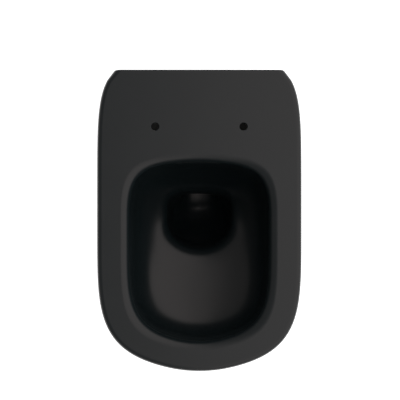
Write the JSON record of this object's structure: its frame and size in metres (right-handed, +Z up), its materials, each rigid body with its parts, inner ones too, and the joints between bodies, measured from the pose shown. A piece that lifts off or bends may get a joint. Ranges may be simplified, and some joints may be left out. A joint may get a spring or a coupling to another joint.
{
  "type": "wall-hung toilet pan",
  "caption": "Matt black wall-hung toilet pan with a flat rim, a deep wash-down bowl, a rear spigot and flush inlet, and side fixings behind pull-off caps.",
  "frame": {"origin": "midway between the two wall studs, on the wall plane", "axes": "+Y into the wall, so the pan projects towards -Y; +X to the right seen from the front; +Z up"},
  "size_m": [0.36, 0.53, 0.335],
  "materials": {
    "black_ceramic": "matt",
    "black_plastic": "matt",
    "rubber": "matt",
    "foam_pad": "matt",
    "zinc_steel": "zinc plated",
    "nylon": "natural"
  },
  "bodies": {
    "pan": {"pan": "black_ceramic", "inlet_seal": "rubber", "flush_guide": "black_plastic", "guide_gasket": "rubber", "bracket_left": "zinc_steel", "bracket_right": "zinc_steel", "bracket_pad_left": "foam_pad", "bracket_pad_right": "foam_pad", "stud_washer_left": "zinc_steel", "stud_washer_right": "zinc_steel", "stud_nut_left": "zinc_steel", "stud_nut_right": "zinc_steel", "clamp_nut_left": "zinc_steel", "clamp_nut_right": "zinc_steel", "locking_screw_left": "zinc_steel", "locking_screw_right": "zinc_steel", "screw_bush_left": "nylon", "screw_bush_right": "nylon"},
    "cap_left": {"side_cap_left": "black_plastic"},
    "cap_right": {"side_cap_right": "black_plastic"}
  },
  "joints": [
    {"name": "side_cap_left_pull", "type": "slide", "parent": "pan", "child": "cap_left", "axis": [-1, 0, 0], "range_m": [0, 0.02]},
    {"name": "side_cap_right_pull", "type": "slide", "parent": "pan", "child": "cap_right", "axis": [1, 0, 0], "range_m": [0, 0.02]}
  ]
}
